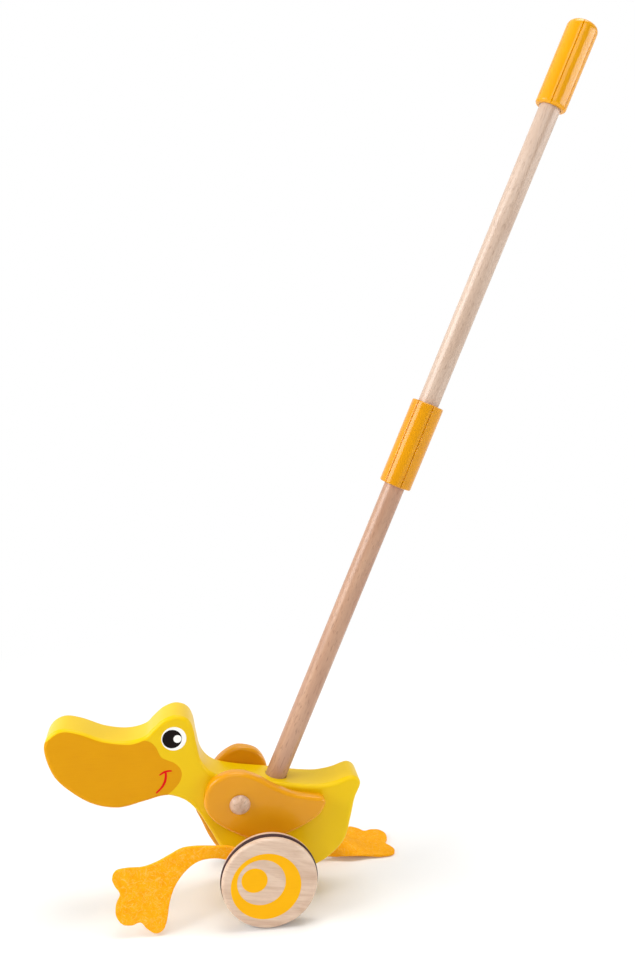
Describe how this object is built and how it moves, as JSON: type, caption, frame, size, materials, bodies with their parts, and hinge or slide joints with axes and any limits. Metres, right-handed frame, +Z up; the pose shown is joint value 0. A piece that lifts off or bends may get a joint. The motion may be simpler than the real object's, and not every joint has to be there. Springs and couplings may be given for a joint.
{
  "type": "push toy",
  "caption": "Wooden duck push toy: flat duck body with swinging wings, wheels that turn felt feet, and a slanted two-piece push stick with a joining sleeve and grip.",
  "frame": {"origin": "floor level, under the middle of the toy's outer box", "axes": "+Z up along the toy's height, -X towards the beak, +X towards the tail, -Y out of the duck's left side"},
  "size_m": [0.3278, 0.1066, 0.5289],
  "materials": {
    "yellow_paint": "satin yellow paint on a sawn wooden board",
    "orange_paint": "satin orange paint on wood",
    "beech": "clear-coated pale beech",
    "orange_plastic": "glossy moulded orange plastic",
    "axle_steel": "drawn steel rod",
    "black_rubber": "dark matt rubber ring",
    "orange_felt": "die-cut orange felt"
  },
  "bodies": {
    "duck": {"duck_body": "yellow_paint", "left_wing_peg": "beech", "right_wing_peg": "beech", "lower_stick": "beech", "stick_sleeve": "orange_plastic", "upper_stick": "beech", "grip_cap": "orange_plastic"},
    "wheel_set": {"axle": "axle_steel", "left_wheel": "beech", "right_wheel": "beech", "left_tyre": "black_rubber", "right_tyre": "black_rubber", "left_spacer": "beech", "right_spacer": "beech", "left_foot": "orange_felt", "right_foot": "orange_felt"},
    "left_wing": {"left_wing": "orange_paint"},
    "right_wing": {"right_wing": "orange_paint"}
  },
  "joints": [
    {"name": "axle_spin", "type": "hinge", "parent": "duck", "child": "wheel_set", "pos_m": [-0.03366, -0.0123, 0.0292], "axis": [0, 1, 0], "continuous": true},
    {"name": "left_wing_swing", "type": "hinge", "parent": "duck", "child": "left_wing", "pos_m": [-0.04956, -0.0123, 0.0701], "axis": [0, 1, 0], "range_deg": [-269.4, 0]},
    {"name": "right_wing_swing", "type": "hinge", "parent": "duck", "child": "right_wing", "pos_m": [-0.04956, -0.0123, 0.0701], "axis": [0, 1, 0], "range_deg": [0, 269.4]}
  ]
}
